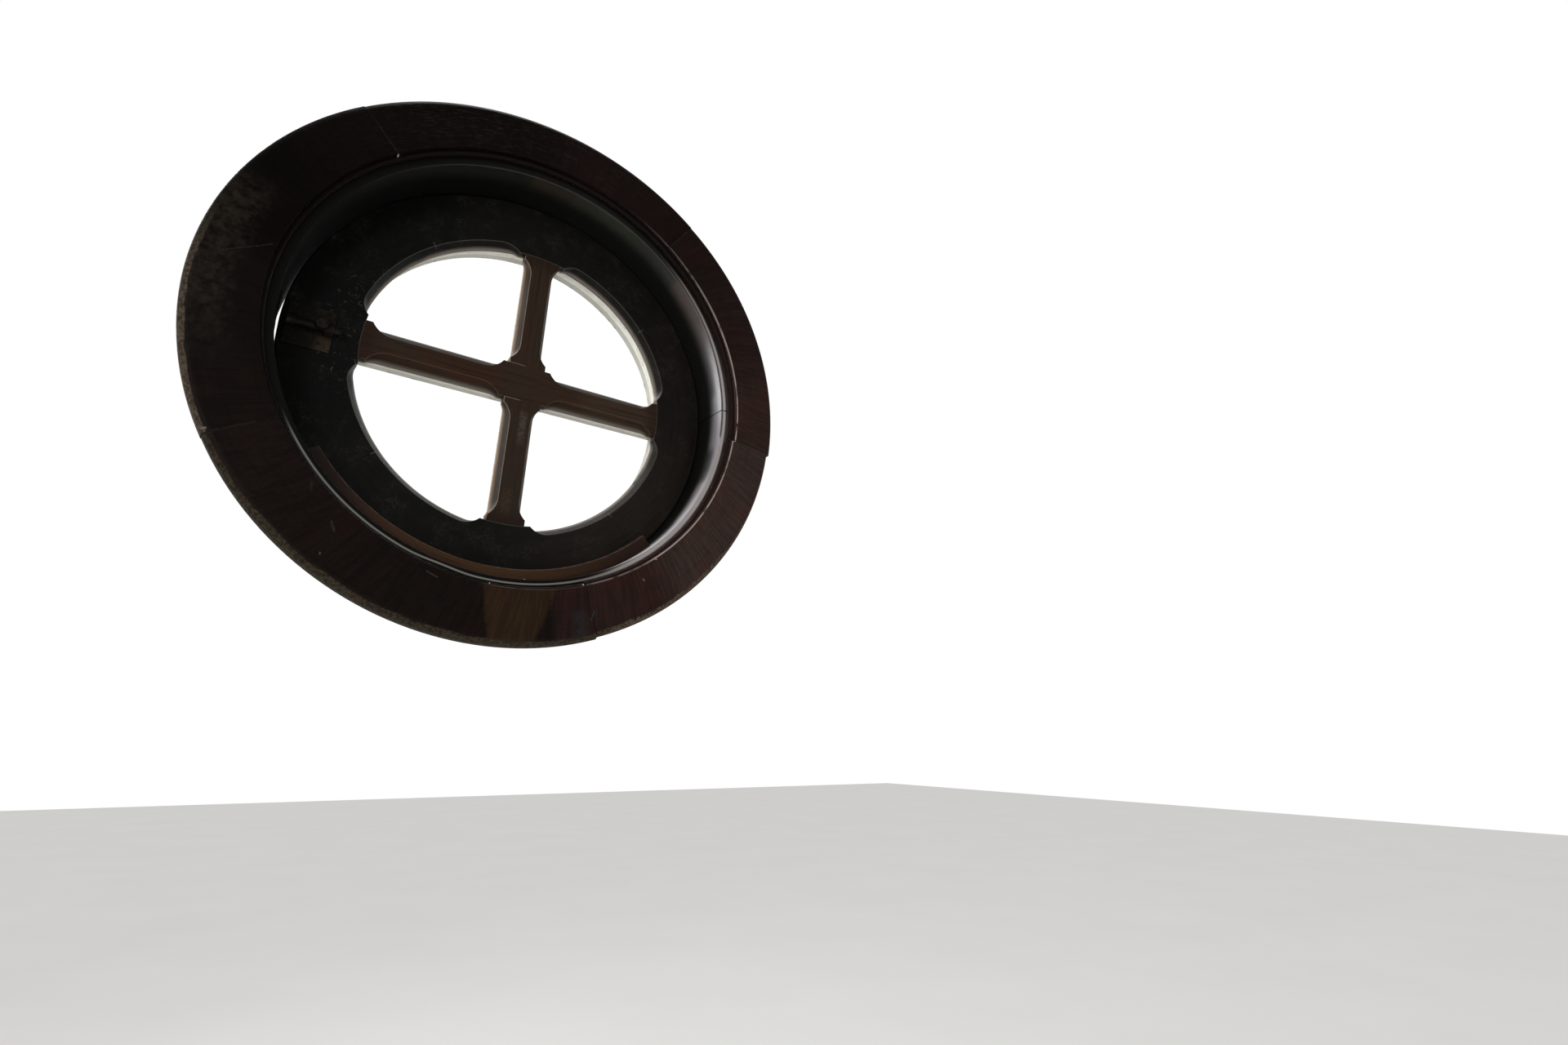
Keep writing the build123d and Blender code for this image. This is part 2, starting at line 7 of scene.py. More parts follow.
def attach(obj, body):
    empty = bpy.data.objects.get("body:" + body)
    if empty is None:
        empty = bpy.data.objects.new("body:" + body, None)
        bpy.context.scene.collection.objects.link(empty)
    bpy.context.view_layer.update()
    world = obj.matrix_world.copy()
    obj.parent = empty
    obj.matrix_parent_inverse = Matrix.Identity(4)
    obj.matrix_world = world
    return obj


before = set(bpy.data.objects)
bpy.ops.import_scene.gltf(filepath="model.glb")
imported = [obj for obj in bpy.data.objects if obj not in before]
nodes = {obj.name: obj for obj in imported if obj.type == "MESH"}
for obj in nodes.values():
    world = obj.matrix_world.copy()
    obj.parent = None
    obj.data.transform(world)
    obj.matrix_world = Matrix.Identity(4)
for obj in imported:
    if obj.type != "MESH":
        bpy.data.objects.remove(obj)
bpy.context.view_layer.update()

bpy.ops.object.select_all(action="DESELECT")


# Casing
# Five boards of stained hardwood, bent or sawn to the round and butted on the wall
# round the opening. The stain differs from board to board and has worn off the outer
# edge low down; the joints were filled by hand, and one patch has lost its colour.
# Painted shade darkens the boards at the top and left and painted light brightens them
# low at the right; a painted highlight runs along the inner arris, with painted shade
# in the quirk beside it.

# angles in degrees; radii from the window's axis and depths into the wall in millimetres
CASING_JOINTS = {"top_left": 133.5, "top_right": 56.0, "right": -7.0,
                 "bottom_right": -72.0, "bottom_left": -149.5}
CASING_INNER = 188.5         # the bead
CASING_ARRIS = 191.5         # the sharp arris behind which the quirk and bead lie
CASING_OUTER = 235.0
CASING_FACE = -12.0
UPPER_RIGHT_SLIP = 2.4       # how far out the upper right board sits at its lower end
RUN_RADIUS = 200.0           # where a run along the boards keeps its true length
MM = 1000.0                  # millimetres in a metre
WORN_WIDTH = 0.0009          # metres
GRAIN_DEEP = 0.00012         # metres


def tone(red, green, blue):
    """Linear colour of a finish given as screen values, 0 to 255."""
    def linear(value):
        value /= 255
        return value / 12.92 if value <= 0.04045 else ((value + 0.055) / 1.055) ** 2.4
    return (linear(red), linear(green), linear(blue), 1.0)


def fill(tree, made, inputs):
    """Fills a node's inputs with values or links."""
    for key, value in inputs.items():
        if isinstance(value, bpy.types.NodeSocket):
            tree.links.new(value, made.inputs[key])
        else:
            made.inputs[key].default_value = value
    return made


def node(tree, kind, inputs=None, **settings):
    """Adds one node, sets it and fills its inputs."""
    made = tree.nodes.new("ShaderNode" + kind)
    for name, value in settings.items():
        setattr(made, name, value)
    return fill(tree, made, inputs or {})


def maths(tree, operation, *values):
    """One arithmetic node's result."""
    return node(tree, "Math", dict(enumerate(values)), operation=operation).outputs[0]


def vectors(tree, operation, *values, out="Vector"):
    """One vector arithmetic node's result."""
    return node(tree, "VectorMath", dict(enumerate(values)), operation=operation).outputs[out]


def scaled(tree, vector, factor):
    """Vector made longer or shorter by one factor."""
    return node(tree, "VectorMath", {0: vector, "Scale": factor}, operation="SCALE").outputs[0]


def split_up(tree, vector):
    """A vector's three parts."""
    return node(tree, "SeparateXYZ", {0: vector}).outputs


def place_on(tree):
    """Place on the piece, in metres."""
    return node(tree, "TexCoord").outputs["Object"]


def fade(tree, value, start, end):
    """Mask that rises smoothly from 0 at start to 1 at end."""
    return node(tree, "MapRange", {"Value": value, "From Min": start, "From Max": end},
                interpolation_type="SMOOTHSTEP").outputs[0]


def both(tree, *masks):
    """Masks multiplied together: where two or more of them meet."""
    result = masks[0]
    for mask in masks[1:]:
        result = maths(tree, "MULTIPLY", result, mask)
    return result


def rest_of(tree, mask):
    """Mask of all that another mask leaves out."""
    return maths(tree, "SUBTRACT", 1.0, mask)


def either(tree, first, second):
    """Two masks joined: where one or the other is."""
    return rest_of(tree, both(tree, rest_of(tree, first), rest_of(tree, second)))


def band(tree, value, start, end, soft):
    """Mask that is 1 between start and end, with soft edges."""
    return both(tree, fade(tree, value, start - soft, start + soft),
                fade(tree, value, end + soft, end - soft))


def between(tree, mask, low, high):
    """Value that goes from low to high with the mask."""
    return maths(tree, "ADD", low, maths(tree, "MULTIPLY", mask, high - low))


def tint(tree, mask, under, over, share=1.0):
    """Colour over laid on colour under where the mask says, by the share given at most."""
    if share < 1.0:
        mask = maths(tree, "MULTIPLY", mask, share)
    return node(tree, "Mix", {0: mask, 6: under, 7: over}, data_type="RGBA").outputs[2]


def times(tree, colour, red, green, blue):
    """Colour made darker or lighter channel by channel."""
    return vectors(tree, "MULTIPLY", colour, (red, green, blue))


def noise(tree, vector, scale, detail=3.0, rough=0.5, warp=0.0):
    """Noise between 0 and 1."""
    return node(tree, "TexNoise", {"Vector": vector, "Scale": scale, "Detail": detail,
                                   "Roughness": rough, "Distortion": warp}).outputs[0]


def swing(tree, wave, width):
    """Noise that swings evenly to both sides of nothing, over a width in all."""
    return maths(tree, "MULTIPLY", maths(tree, "SUBTRACT", wave, 0.5), width)


def new_group(name, inputs, outputs):
    """Empty node group with named sockets, its tree, and its in and out nodes."""
    tree = bpy.data.node_groups.new(name, "ShaderNodeTree")
    for label, kind, value in inputs:
        socket = tree.interface.new_socket(label, in_out="INPUT", socket_type="NodeSocket" + kind)
        socket.default_value = value
    for label, kind in outputs:
        tree.interface.new_socket(label, in_out="OUTPUT", socket_type="NodeSocket" + kind)
    return tree, tree.nodes.new("NodeGroupInput"), tree.nodes.new("NodeGroupOutput")


def give_out(tree, result, **sockets):
    """Links a group's results to its outputs of the same names."""
    for name, socket in sockets.items():
        tree.links.new(socket, result.inputs[name])


def use_group(tree, group, inputs=None):
    """Places a node group in a material."""
    made = tree.nodes.new("ShaderNodeGroup")
    made.node_tree = group
    return fill(tree, made, inputs or {})


def round_the_axis():
    """Angle from the cut, radius, run along the ring and plain place, in degrees and mm."""
    tree, given, result = new_group(
        "round the axis",
        [("Centre X", "Float", 0.0), ("Cut", "Float", CASING_JOINTS["bottom_left"])],
        [("Angle", "Float"), ("Radius", "Float"), ("Run", "Vector"), ("Flat", "Vector")])
    place = split_up(tree, place_on(tree))
    x = maths(tree, "SUBTRACT", maths(tree, "MULTIPLY", place[0], MM), given.outputs["Centre X"])
    y = maths(tree, "MULTIPLY", place[1], MM)
    z = maths(tree, "MULTIPLY", place[2], MM)
    angle = maths(tree, "DEGREES", maths(tree, "ARCTAN2", z, x))
    turned = maths(tree, "SUBTRACT", angle, given.outputs["Cut"])
    angle = maths(tree, "ADD", maths(tree, "FLOORED_MODULO", turned, 360.0),
                  given.outputs["Cut"])
    radius = maths(tree, "SQRT", maths(tree, "ADD", maths(tree, "MULTIPLY", x, x),
                                       maths(tree, "MULTIPLY", z, z)))
    along = maths(tree, "MULTIPLY", angle, math.radians(RUN_RADIUS))
    run = node(tree, "CombineXYZ", {0: along, 1: radius, 2: y}).outputs[0]
    flat = node(tree, "CombineXYZ", {0: x, 1: y, 2: z}).outputs[0]
    give_out(tree, result, Angle=angle, Radius=radius, Run=run, Flat=flat)
    return tree


def stained_grain():
    """Streaks along the run, fine pores and slow clouds, from a run in millimetres."""
    tree, given, result = new_group(
        "stained grain", [("Run", "Vector", (0, 0, 0)), ("Width", "Float", 1.0)],
        [("Streak", "Float"), ("Pores", "Float"), ("Cloud", "Float"), ("Height", "Float")])
    run = given.outputs["Run"]
    slim = maths(tree, "DIVIDE", 1.0, given.outputs["Width"])
    coarse = scaled(tree, vectors(tree, "MULTIPLY", run, (0.012, 0.30, 0.30)), slim)
    streak = noise(tree, coarse, 1.0, 5.0, 0.62, 0.4)
    fine = vectors(tree, "MULTIPLY", run, (0.09, 2.4, 2.4))
    pores = fade(tree, noise(tree, fine, 1.0, 2.0, 0.5, 0.2), 0.60, 0.74)
    slow = vectors(tree, "MULTIPLY", run, (0.02, 0.035, 0.035))
    cloud = noise(tree, slow, 1.0, 3.0, 0.55, 0.6)
    height = maths(tree, "SUBTRACT", maths(tree, "MULTIPLY", streak, 0.6),
                   maths(tree, "MULTIPLY", pores, 0.7))
    give_out(tree, result, Streak=streak, Pores=pores, Cloud=cloud, Height=height)
    return tree


def worn_arris():
    """Where two faces meet: a line, a broken-up mask of wear and the rounded normal."""
    tree, given, result = new_group(
        "worn arris", [("Width", "Float", 0.0008), ("Flat", "Vector", (0, 0, 0))],
        [("Line", "Float"), ("Wear", "Float"), ("Normal", "Vector")])
    bevel = node(tree, "Bevel", {"Radius": given.outputs["Width"]}, samples=6).outputs[0]
    true_normal = node(tree, "NewGeometry").outputs["Normal"]
    straight = vectors(tree, "DOT_PRODUCT", bevel, true_normal, out="Value")
    turned = fade(tree, straight, 0.998, 0.935)
    patchy = fade(tree, noise(tree, given.outputs["Flat"], 0.16, 4.0, 0.65), 0.40, 0.62)
    give_out(tree, result, Line=turned, Wear=both(tree, turned, patchy), Normal=bevel)
    return tree


def stroke():
    """Mask of a thin straight mark between two points in millimetres."""
    tree, given, result = new_group(
        "stroke", [("Flat", "Vector", (0, 0, 0)), ("From", "Vector", (0, 0, 0)),
                   ("To", "Vector", (1, 0, 0)), ("Width", "Float", 0.6),
                   ("Wobble", "Float", 0.0)], [("Mask", "Float")])
    flat = vectors(tree, "MULTIPLY", given.outputs["Flat"], (1, 0, 1))
    shake = node(tree, "TexNoise", {"Vector": flat, "Scale": 0.18, "Detail": 2.0}).outputs[1]
    shake = vectors(tree, "SUBTRACT", shake, (0.5, 0.5, 0.5))
    flat = vectors(tree, "ADD", flat, scaled(tree, shake, given.outputs["Wobble"]))
    span = vectors(tree, "SUBTRACT", given.outputs["To"], given.outputs["From"])
    reach = vectors(tree, "SUBTRACT", flat, given.outputs["From"])
    part = maths(tree, "DIVIDE", vectors(tree, "DOT_PRODUCT", reach, span, out="Value"),
                 vectors(tree, "DOT_PRODUCT", span, span, out="Value"))
    nearest = scaled(tree, span, node(tree, "Clamp", {0: part}).outputs[0])
    gap = vectors(tree, "LENGTH", vectors(tree, "SUBTRACT", reach, nearest), out="Value")
    gap = maths(tree, "DIVIDE", gap, given.outputs["Width"])
    broken = fade(tree, noise(tree, flat, 0.55, 3.0, 0.6), 0.30, 0.55)
    give_out(tree, result, Mask=both(tree, fade(tree, gap, 1.0, 0.35), broken))
    return tree


ROUND = round_the_axis()
GRAIN = stained_grain()
ARRIS = worn_arris()
STROKE = stroke()


def new_material(name, roughness, **fixed):
    """Material with its shader set, its tree and its shader."""
    material = bpy.data.materials.new(name)
    material.use_nodes = True
    shader = material.node_tree.nodes["Principled BSDF"]
    shader.inputs["Roughness"].default_value = roughness
    for key, value in fixed.items():
        shader.inputs[key.replace("_", " ")].default_value = value
    return material, material.node_tree, shader


def finish_surface(tree, shader, colour, height, depth, normal=None, rough=None):
    """Links colour, relief of a depth in metres and any roughness to the shader."""
    relief = {"Height": height, "Distance": depth}
    if normal is not None:
        relief["Normal"] = normal
    tree.links.new(colour, shader.inputs["Base Color"])
    tree.links.new(node(tree, "Bump", relief).outputs[0], shader.inputs["Normal"])
    if rough is not None:
        tree.links.new(rough, shader.inputs["Roughness"])


def dress(material, *names):
    """Gives CAD nodes their material."""
    for name in names:
        slots = nodes[name].data.materials
        slots.clear()
        slots.append(material)


def on_ring(radius, angle):
    """Point in millimetres at a radius and an angle, in the wall's plane."""
    return (radius * math.cos(math.radians(angle)), 0.0, radius * math.sin(math.radians(angle)))


def mark(tree, flat, start, end, width, wobble=0.0):
    """Mask of one stroke between two places given as radius and angle."""
    return use_group(tree, STROKE, {"Flat": flat, "From": on_ring(*start), "To": on_ring(*end),
                                    "Width": width, "Wobble": wobble}).outputs[0]


def zones(tree, angle, stops):
    """Colour that changes from zone to zone round the ring, each from (angle, blend, tone)."""
    colour = stops[0][2]
    for start, blend, shade in stops[1:]:
        colour = tint(tree, fade(tree, angle, start - blend / 2, start + blend / 2), colour, shade)
    return colour


def raw_wood(tree, colour, streak, mask):
    """Unstained wood smeared with plaster, on the faces that lie against the wall."""
    raw = tint(tree, fade(tree, streak, 0.35, 0.65), tone(112, 88, 64), tone(86, 66, 48))
    plaster = fade(tree, noise(tree, place_on(tree), 26.0, 5.0, 0.68), 0.54, 0.62)
    raw = tint(tree, plaster, raw, tone(168, 162, 152), 0.8)
    return tint(tree, mask, colour, raw)


def casing_material():
    """Stained boards, each with its tone, its fillers and its wear, and painted light and shade.
    """
    material, tree, shader = new_material("stained casing", 0.42, Specular_IOR_Level=0.08)
    angle, radius, run, flat = use_group(tree, ROUND).outputs
    streak, pores, cloud, height = use_group(tree, GRAIN, {"Run": run, "Width": 1.0}).outputs
    arris = use_group(tree, ARRIS, {"Width": WORN_WIDTH, "Flat": flat})
    depth = split_up(tree, flat)[1]
    joints = CASING_JOINTS

    # tone going round from the lower left joint; the stain changes at most joints, and
    # painted shade darkens the top and left while painted light brightens the lower right
    colour = zones(tree, angle, (
        (joints["bottom_left"], 0.0, tone(25, 17, 14)), (-120.0, 20.0, tone(22, 16, 13)),
        (-80.5, 1.5, tone(40, 26, 24)), (joints["bottom_right"], 0.3, tone(45, 30, 27)),
        (-52.0, 14.0, tone(58, 47, 43)), (-20.0, 16.0, tone(56, 45, 42)),
        (joints["right"], 0.3, tone(48, 36, 32)), (14.0, 16.0, tone(36, 26, 23)),
        (38.0, 18.0, tone(29, 20, 17)), (joints["top_right"], 0.3, tone(25, 15, 13)),
        (92.0, 24.0, tone(12, 7, 4)), (joints["top_left"], 0.3, tone(13, 7, 4)),
        (150.0, 14.0, tone(7, 5, 3)), (174.0, 14.0, tone(16, 12, 10)),
        (198.0, 10.0, tone(22, 15, 12))))

    # brushed streaks across the boards, grain along them, slow reddish clouds
    skewed = node(tree, "CombineXYZ", {0: maths(tree, "MULTIPLY", radius, 0.06)}).outputs[0]
    across = vectors(tree, "ADD", vectors(tree, "MULTIPLY", run, (0.42, 0.035, 0.035)), skewed)
    brushed = noise(tree, across, 1.0, 4.0, 0.6, 0.5)
    colour = tint(tree, fade(tree, brushed, 0.30, 0.70), times(tree, colour, 0.76, 0.80, 0.78),
                  times(tree, colour, 1.30, 1.20, 1.20))
    colour = tint(tree, fade(tree, cloud, 0.42, 0.68), colour,
                  times(tree, colour, 1.25, 0.90, 0.86), 0.7)
    colour = tint(tree, fade(tree, streak, 0.45, 0.75), colour,
                  times(tree, colour, 0.55, 0.52, 0.50), 0.4)
    colour = tint(tree, pores, colour, tone(10, 7, 6), 0.35)

    # greyed blotches at the left, fainter ones low down and at the right, and a smudge
    blotch = noise(tree, flat, 0.16, 5.0, 0.68)
    inside = maths(tree, "ADD", radius, maths(tree, "MULTIPLY", blotch, 16.0))
    bleached = both(tree, fade(tree, angle, 158, 166), fade(tree, angle, 203, 184),
                    fade(tree, inside, 211, 228), fade(tree, blotch, 0.30, 0.72))
    colour = tint(tree, bleached, colour, tone(46, 39, 32), 0.85)
    speckle = noise(tree, flat, 0.45, 4.0, 0.7)
    mottled = both(tree, fade(tree, angle, -118, -140), fade(tree, speckle, 0.50, 0.70))
    colour = tint(tree, mottled, colour, tone(36, 30, 25), 0.35)
    faded = both(tree, band(tree, angle, -50, -8, 5.0), fade(tree, blotch, 0.50, 0.66))
    colour = tint(tree, faded, colour, tone(58, 53, 50), 0.45)
    smudge = both(tree, band(tree, angle, -76.5, -73.5, 1.2), fade(tree, radius, 206, 217),
                  fade(tree, blotch, 0.35, 0.55))
    colour = tint(tree, smudge, colour, tone(42, 44, 45), 0.6)

    # the patch that has lost its stain, its left edge slanting and its right edge stepped
    slant = maths(tree, "MULTIPLY", maths(tree, "SUBTRACT", CASING_OUTER - 6.0, radius), 0.075)
    ragged = swing(tree, speckle, 1.6)
    from_left = maths(tree, "ADD", maths(tree, "ADD", angle, slant), ragged)
    from_right = maths(tree, "SUBTRACT", maths(tree, "ADD", angle, ragged),
                       maths(tree, "MULTIPLY", slant, 1.6))
    lost = both(tree, fade(tree, from_left, -93.6, -92.6), fade(tree, from_right, -83.4, -84.8))
    ochre = tint(tree, fade(tree, brushed, 0.35, 0.65), tone(45, 31, 20), tone(54, 38, 24))
    colour = tint(tree, lost, colour, ochre, 0.9)

    # dust and bare wood on the rounded outer edge, low down and at the left
    wander = swing(tree, noise(tree, flat, 0.045, 2.0), 5.0)
    wide = both(tree, band(tree, angle, -71.8, -36, 4.0), fade(tree, speckle, 0.3, 0.6))
    reach = maths(tree, "ADD", maths(tree, "ADD", radius, wander),
                  maths(tree, "MULTIPLY", wide, 2.2))
    low = maths(tree, "MAXIMUM", fade(tree, angle, -14, -40), fade(tree, angle, 166, 186))
    edge = both(tree, fade(tree, reach, CASING_OUTER - 4.1, CASING_OUTER - 3.3), low)
    dusty = fade(tree, speckle, 0.38, 0.62)
    bare = tint(tree, fade(tree, angle, -74, -64),
                tint(tree, dusty, tone(36, 31, 23), tone(66, 58, 46)),
                tint(tree, dusty, tone(58, 49, 40), tone(96, 84, 72)))
    colour = tint(tree, edge, colour, bare, 0.9)

    # the inner arris, given a painted highlight line low down and at the right, and painted
    # shade in the quirk beside it; on the upper right board both run further out toward its lower
    # end
    faint = maths(tree, "MULTIPLY", fade(tree, angle, -98, -92), 0.35)
    clear = both(tree, either(tree, faint, fade(tree, angle, -57, -50)),
                 fade(tree, angle, 74, 10))
    slipped = both(tree, fade(tree, angle, 50, -7), fade(tree, angle, -7.6, -7.4))
    arris_radius = maths(tree, "SUBTRACT", radius,
                         maths(tree, "MULTIPLY", slipped, UPPER_RIGHT_SLIP))
    rubbed = both(tree, band(tree, arris_radius, CASING_ARRIS - 0.3, CASING_ARRIS + 1.0, 0.3),
                  fade(tree, depth, CASING_FACE + 2.0, CASING_FACE + 1.0), clear,
                  fade(tree, noise(tree, flat, 0.12, 2.0), 0.2, 0.5))
    colour = tint(tree, rubbed, colour, tone(184, 164, 156), 0.9)
    under = fade(tree, arris_radius, CASING_ARRIS - 0.1, CASING_ARRIS - 0.6)
    shadowed = tint(tree, fade(tree, angle, 10, 50), tone(36, 20, 14), tone(18, 11, 8))
    shadowed = tint(tree, fade(tree, angle, -70, -50), tone(15, 13, 10), shadowed)
    colour = tint(tree, under, colour, shadowed, 0.8)

    # fillers in the joints, each from an outer to an inner radius
    for joint, outer, inner, width, wobble, filler in (
            ("top_left", 218, CASING_INNER, 0.7, 2.6, tone(38, 31, 26)),
            ("top_right", 232, CASING_INNER, 0.8, 2.0, tone(30, 26, 21)),
            ("right", 234, CASING_INNER, 0.9, 1.0, tone(30, 26, 22)),
            ("bottom_right", 234, 214, 0.6, 0.5, tone(18, 13, 11)),
            ("bottom_left", CASING_OUTER, 206, 1.1, 1.6, tone(34, 33, 28))):
        line = mark(tree, flat, (outer, joints[joint]), (inner, joints[joint]), width, wobble)
        colour = tint(tree, line, colour, filler, 0.85)

    # a pale scratch, scuffs, and specks of paint
    scratch = mark(tree, flat, (219, 177.4), (195, 172.4), 0.45, 0.8)
    colour = tint(tree, scratch, colour, tone(54, 47, 38), 0.7)
    for start, end, width, shade in (
            ((204, -127), (207, -125.5), 1.2, tone(46, 43, 38)),
            ((197, -107.5), (198, -105.2), 0.7, tone(58, 55, 50)),
            ((196, -135), (199, -134), 1.3, tone(36, 34, 29)),
            ((214, -71.6), (220, -72.6), 0.9, tone(48, 56, 58)),
            ((223, -124.2), (224, -124), 0.6, tone(92, 88, 80)),
            ((202.5, -57.9), (204.5, -57.8), 0.6, tone(140, 130, 122)),
            ((191.8, -52.6), (193.2, -52.2), 0.9, tone(170, 150, 140)),
            ((232, -150.2), (234, -150.4), 1.1, tone(112, 108, 98))):
        colour = tint(tree, mark(tree, flat, start, end, width), colour, shade)
    specks = fade(tree, noise(tree, flat, 0.9, 1.0, 0.5), 0.76, 0.80)
    colour = tint(tree, specks, colour, tone(70, 62, 52), 0.3)

    # the back between the two edges, which was never stained
    back = both(tree, fade(tree, depth, -3.4, -3.0),
                fade(tree, radius, CASING_ARRIS + 1.1, CASING_ARRIS + 1.7),
                fade(tree, radius, CASING_OUTER - 0.4, CASING_OUTER - 0.8))
    colour = raw_wood(tree, colour, streak, back)
    rough = maths(tree, "ADD", between(tree, cloud, 0.30, 0.48),
                  maths(tree, "MULTIPLY", edge, 0.35))
    finish_surface(tree, shader, colour, height, GRAIN_DEEP, arris.outputs["Normal"], rough)
    return material


dress(casing_material(), "casing_top", "casing_upper_right", "casing_lower_right",
      "casing_bottom", "casing_left")


# Nails and pins
# Lost-head nails through the casing and pins through the stop, punched just under
# the surface and stained over, so that only small dark rounds show.

def nail_material():
    """Dull steel under old stain."""
    material, tree, shader = new_material("stained nail", 0.5, Metallic=0.6)
    rust = noise(tree, place_on(tree), 900.0, 3.0)
    colour = tint(tree, fade(tree, rust, 0.4, 0.65), tone(52, 42, 36), tone(78, 52, 38))
    tree.links.new(colour, shader.inputs["Base Color"])
    return material


dress(nail_material(), "casing_nails", "stop_pins")


# Filler and crumbs
# Bits of pinkish-white filler: a drip and a chip where two joints meet the inner edge,
# and three crumbs stuck on the edge or lying on the bottom of the liner.

def filler_material():
    """Chalky filler."""
    material, tree, shader = new_material("old filler", 0.85)
    grit = noise(tree, place_on(tree), 2500.0, 3.0, 0.6)
    colour = tint(tree, grit, tone(150, 134, 124), tone(206, 192, 182))
    finish_surface(tree, shader, colour, grit, 0.0001)
    return material


def crumb(name, radius, angle, depth, half, material):
    """Lump of filler, its half sizes given outward, into the wall and along the edge."""
    x, _, z = on_ring(radius, angle)
    bpy.ops.object.select_all(action="DESELECT")
    bpy.ops.mesh.primitive_ico_sphere_add(subdivisions=3, radius=1.0 / MM)
    lump = bpy.context.object
    lump.name = name
    bpy.ops.transform.resize(value=half)
    bpy.ops.object.transform_apply(location=False, rotation=False, scale=True)
    knock = bpy.data.textures.new(name, "CLOUDS")
    knock.noise_scale = 0.7 / MM
    dent = lump.modifiers.new("dent", "DISPLACE")
    dent.texture = knock
    dent.strength = 0.3 / MM
    bpy.ops.object.modifier_apply(modifier="dent")
    lump.rotation_euler = (0.0, -math.radians(angle), 0.0)
    lump.location = (x / MM, depth / MM, z / MM)
    bpy.ops.object.transform_apply(location=True, rotation=True, scale=True)
    bpy.ops.object.shade_smooth()
    lump.data.materials.append(material)
    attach(lump, "frame")


FILLER = filler_material()
crumb("joint_drip", CASING_ARRIS - 0.2, CASING_JOINTS["top_left"], -9.2, (0.45, 2.1, 0.8), FILLER)
crumb("joint_chip", CASING_ARRIS - 0.2, -72.8, -10.9, (0.8, 0.9, 0.7), FILLER)
crumb("edge_crumb_left", CASING_ARRIS - 0.2, -94.6, -11.1, (0.45, 0.6, 0.5), FILLER)
crumb("edge_crumb_right", CASING_ARRIS - 0.1, -52.1, -11.0, (0.6, 0.8, 1.1), FILLER)
crumb("liner_crumb", 182.6, -85.7, 2.2, (0.5, 0.6, 0.55), FILLER)


# Liner
# One hoop of wood bent round inside the hole, under many coats of varnish. Painted
# shade makes it darkest by the sash and at the top and left, and a painted sheen lies
# where daylight from the panes grazes it near the room at the right.

LINER_RADIUS = 183.0
LINER_OUTER = 199.0
KERF_ANGLE = 3.0
KERF_DEPTH = 7.0             # how far the kerf reaches into the hoop


